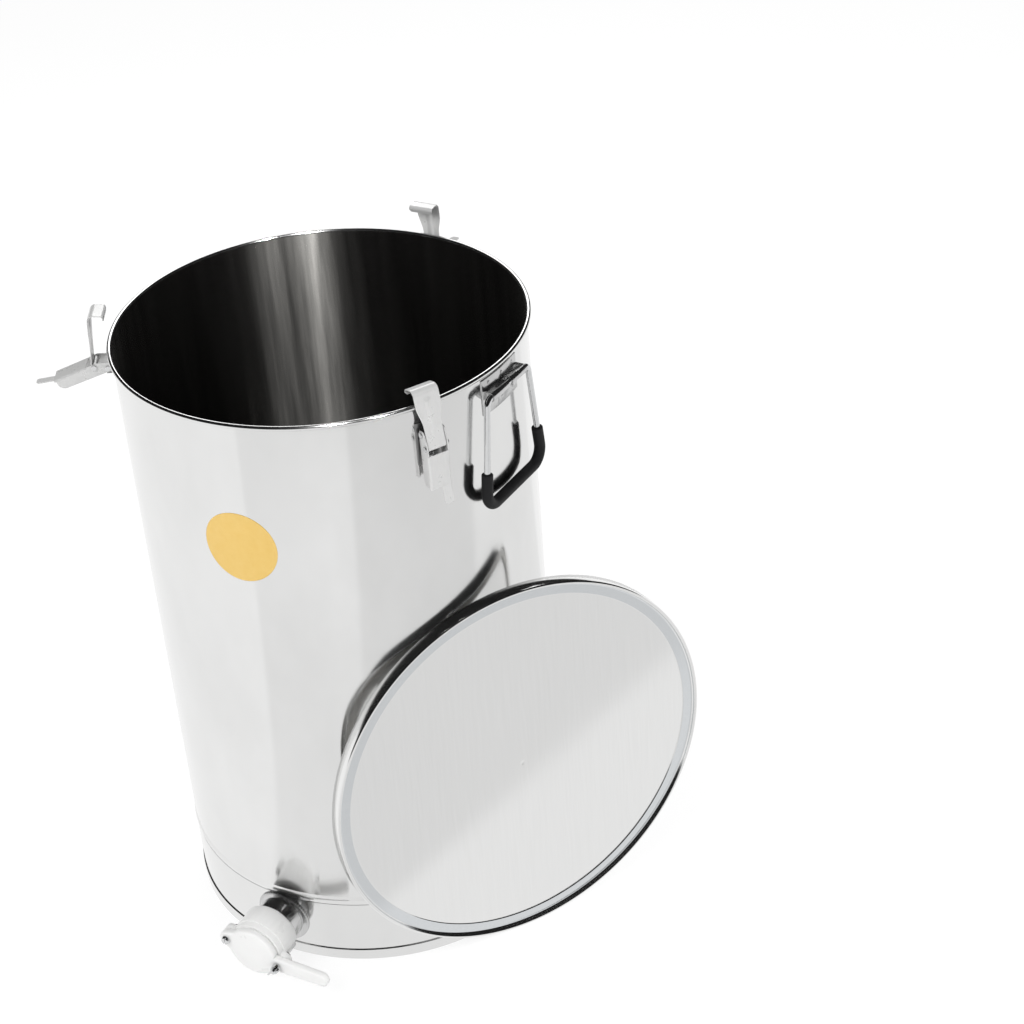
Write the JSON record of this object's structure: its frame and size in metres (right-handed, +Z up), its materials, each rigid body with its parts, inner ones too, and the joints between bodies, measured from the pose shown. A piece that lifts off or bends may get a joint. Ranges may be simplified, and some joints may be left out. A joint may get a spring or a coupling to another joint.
{
  "type": "honey settling tank",
  "caption": "Stainless steel honey settling tank with a white honey gate, three toggle latches, two drop handles and its round lid leaning against the side",
  "frame": {"origin": "on the tank's axis, in the plane that its hem stands on", "axes": "+Z up the tank's axis; -Y towards the pictured side; +X to the right, where the lid leans"},
  "size_m": [0.6138, 0.4882, 0.67],
  "materials": {
    "steel": "satin",
    "bright_steel": "polished",
    "white_plastic": "gloss",
    "black_rubber": "matte",
    "pale_rubber": "matte"
  },
  "bodies": {
    "tank": {"body_shell": "steel", "base_ring": "steel", "tank_floor": "steel", "outlet_pipe": "steel", "gate_socket": "white_plastic", "pipe_seal": "black_rubber", "gate_seal": "black_rubber", "pivot_screw": "bright_steel", "pivot_nut": "bright_steel", "lock_stud": "bright_steel", "lever_pins": "bright_steel", "latch_rivets": "bright_steel", "latch_base_front": "steel", "latch_base_left": "steel", "latch_base_rear": "steel", "handle_strap_right": "steel", "handle_strap_left": "steel"},
    "lever_front": {"latch_lever_front": "bright_steel", "hook_pin_front": "bright_steel"},
    "hook_front": {"latch_hook_front": "bright_steel"},
    "lever_left": {"latch_lever_left": "bright_steel", "hook_pin_left": "bright_steel"},
    "hook_left": {"latch_hook_left": "bright_steel"},
    "lever_rear": {"latch_lever_rear": "bright_steel", "hook_pin_rear": "bright_steel"},
    "hook_rear": {"latch_hook_rear": "bright_steel"},
    "handle_right": {"handle_bail_right": "bright_steel", "handle_grip_right": "black_rubber"},
    "handle_left": {"handle_bail_left": "bright_steel", "handle_grip_left": "black_rubber"},
    "gate": {"gate_blade": "white_plastic"},
    "clamp_nut": {"wing_nut": "bright_steel"},
    "lid": {"lid": "steel", "lid_seal": "pale_rubber"}
  },
  "joints": [
    {"name": "lever_front_swing", "type": "hinge", "parent": "tank", "child": "lever_front", "pos_m": [0.08664, -0.18579, 0.613], "axis": [-0.9063, -0.4226, 0], "range_deg": [0, 100]},
    {"name": "hook_front_turn", "type": "hinge", "parent": "lever_front", "child": "hook_front", "pos_m": [0.08917, -0.19123, 0.601], "axis": [-0.9063, -0.4226, 0], "range_deg": [-100, 0]},
    {"name": "lever_left_swing", "type": "hinge", "parent": "tank", "child": "lever_left", "pos_m": [-0.20422, 0.01787, 0.613], "axis": [0.0872, 0.9962, 0], "range_deg": [-70, 30]},
    {"name": "hook_left_turn", "type": "hinge", "parent": "lever_left", "child": "hook_left", "pos_m": [-0.2175, 0.01903, 0.61453], "axis": [0.0872, 0.9962, 0], "range_deg": [-30, 70]},
    {"name": "lever_rear_swing", "type": "hinge", "parent": "tank", "child": "lever_rear", "pos_m": [0.11758, 0.16793, 0.613], "axis": [0.8192, -0.5736, 0], "range_deg": [-70, 30]},
    {"name": "hook_rear_turn", "type": "hinge", "parent": "lever_rear", "child": "hook_rear", "pos_m": [0.12523, 0.17884, 0.61453], "axis": [0.8192, -0.5736, 0], "range_deg": [-30, 70]},
    {"name": "handle_right_swing", "type": "hinge", "parent": "tank", "child": "handle_right", "pos_m": [0.16343, -0.1254, 0.619], "axis": [-0.6088, -0.7934, 0], "range_deg": [0, 120]},
    {"name": "handle_left_swing", "type": "hinge", "parent": "tank", "child": "handle_left", "pos_m": [-0.16343, 0.1254, 0.619], "axis": [0.6088, 0.7934, 0], "range_deg": [0, 120]},
    {"name": "gate_swing", "type": "hinge", "parent": "tank", "child": "gate", "pos_m": [-0.17016, -0.19154, 0.05264], "axis": [-0.5736, -0.8192, 0], "range_deg": [0, 80]},
    {"name": "clamp_nut_turn", "type": "hinge", "parent": "tank", "child": "clamp_nut", "pos_m": [-0.12637, -0.23196, 0.03736], "axis": [-0.5736, -0.8192, 0], "continuous": true},
    {"name": "lid_lift", "type": "slide", "parent": "tank", "child": "lid", "axis": [0.3551, -0.87, 0.342], "range_m": [0, 0.3]}
  ],
  "couplings": [
    {"joint": "hook_front_turn", "follows": "lever_front_swing", "ratio": -1},
    {"joint": "hook_left_turn", "follows": "lever_left_swing", "ratio": -1},
    {"joint": "hook_rear_turn", "follows": "lever_rear_swing", "ratio": -1}
  ]
}
